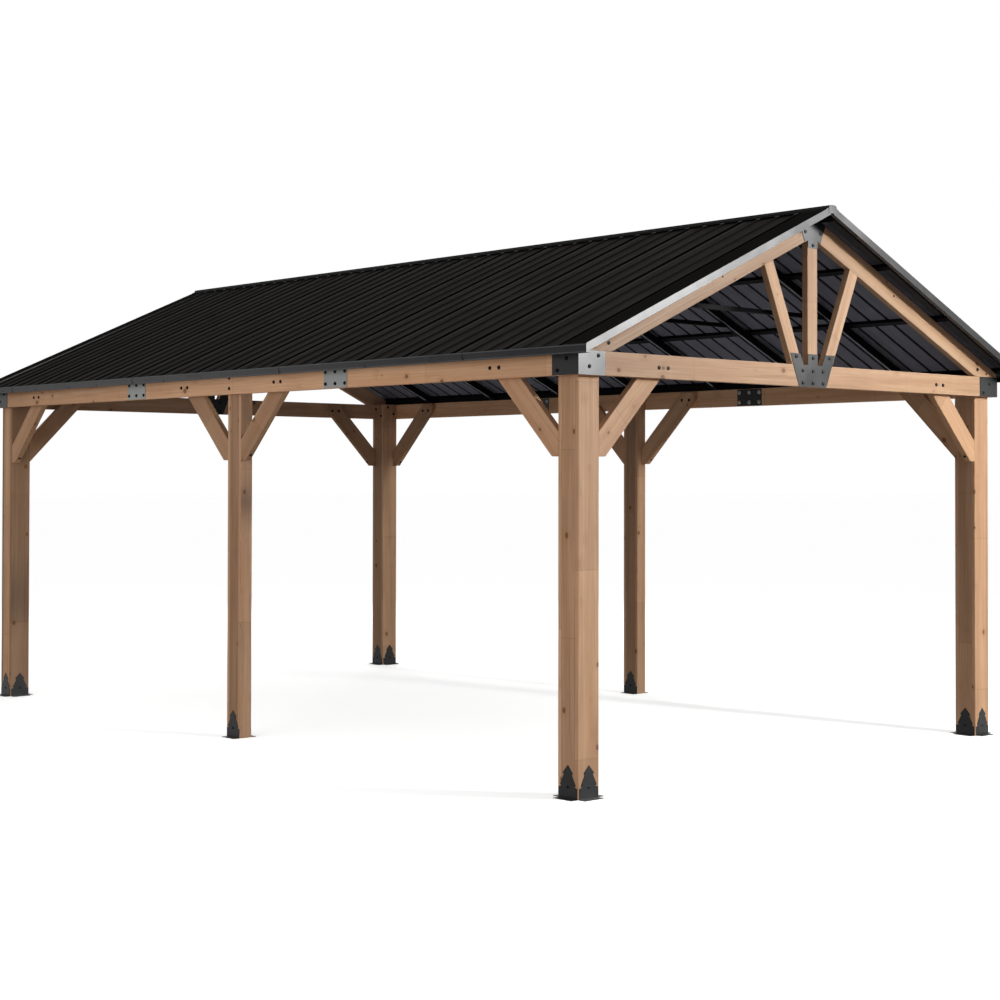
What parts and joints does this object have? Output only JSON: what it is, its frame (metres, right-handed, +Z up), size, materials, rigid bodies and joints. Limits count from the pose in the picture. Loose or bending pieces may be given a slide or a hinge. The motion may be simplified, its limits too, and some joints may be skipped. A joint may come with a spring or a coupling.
{
  "type": "garden gazebo",
  "caption": "Open-sided garden gazebo with box posts, knee braces, open gable trusses and a ribbed dark steel gable roof.",
  "frame": {"origin": "on the ground, under the middle of the frame", "axes": "+X along the ridge to the right gable, +Y to the back long side, +Z up"},
  "size_m": [6.174, 3.746, 3.0144],
  "materials": {
    "cedar": "smooth planed, light brown stain",
    "bracket_steel": "charcoal powder coat",
    "splice_steel": "pale grey coated steel plate",
    "roof_steel": "dark brown-black coated sheet",
    "trim_steel": "charcoal satin coat",
    "frame_steel": "black powder coat"
  },
  "bodies": {
    "root": {"beam_back_left": "cedar", "beam_back_middle": "cedar", "beam_back_right": "cedar", "beam_front_left": "cedar", "beam_front_middle": "cedar", "beam_front_right": "cedar", "beam_gable_left": "cedar", "beam_gable_right": "cedar", "corner_brackets": "bracket_steel", "eave_trim_back": "trim_steel", "eave_trim_front": "trim_steel", "foot_brackets_back_left": "bracket_steel", "foot_brackets_back_middle": "bracket_steel", "foot_brackets_back_right": "bracket_steel", "foot_brackets_front_left": "bracket_steel", "foot_brackets_front_middle": "bracket_steel", "foot_brackets_front_right": "bracket_steel", "gable_rafter_left_back": "cedar", "gable_rafter_left_front": "cedar", "gable_rafter_right_back": "cedar", "gable_rafter_right_front": "cedar", "gable_webs_left": "cedar", "gable_webs_right": "cedar", "knee_braces_back_left": "cedar", "knee_braces_back_middle": "cedar", "knee_braces_back_right": "cedar", "knee_braces_front_left": "cedar", "knee_braces_front_middle": "cedar", "knee_braces_front_right": "cedar", "post_back_left": "cedar", "post_back_middle": "cedar", "post_back_right": "cedar", "post_front_left": "cedar", "post_front_middle": "cedar", "post_front_right": "cedar", "purlins_back": "frame_steel", "purlins_front": "frame_steel", "rake_trim_left": "trim_steel", "rake_trim_right": "trim_steel", "ridge_beam": "frame_steel", "ridge_cap": "trim_steel", "roof_sheet_back": "roof_steel", "roof_sheet_front": "roof_steel", "splice_plates_back": "bracket_steel", "splice_plates_front": "splice_steel", "steel_rafters_back": "frame_steel", "steel_rafters_front": "frame_steel", "tie_bars": "frame_steel", "truss_plates_left": "bracket_steel", "truss_plates_right": "bracket_steel"}
  },
  "joints": []
}
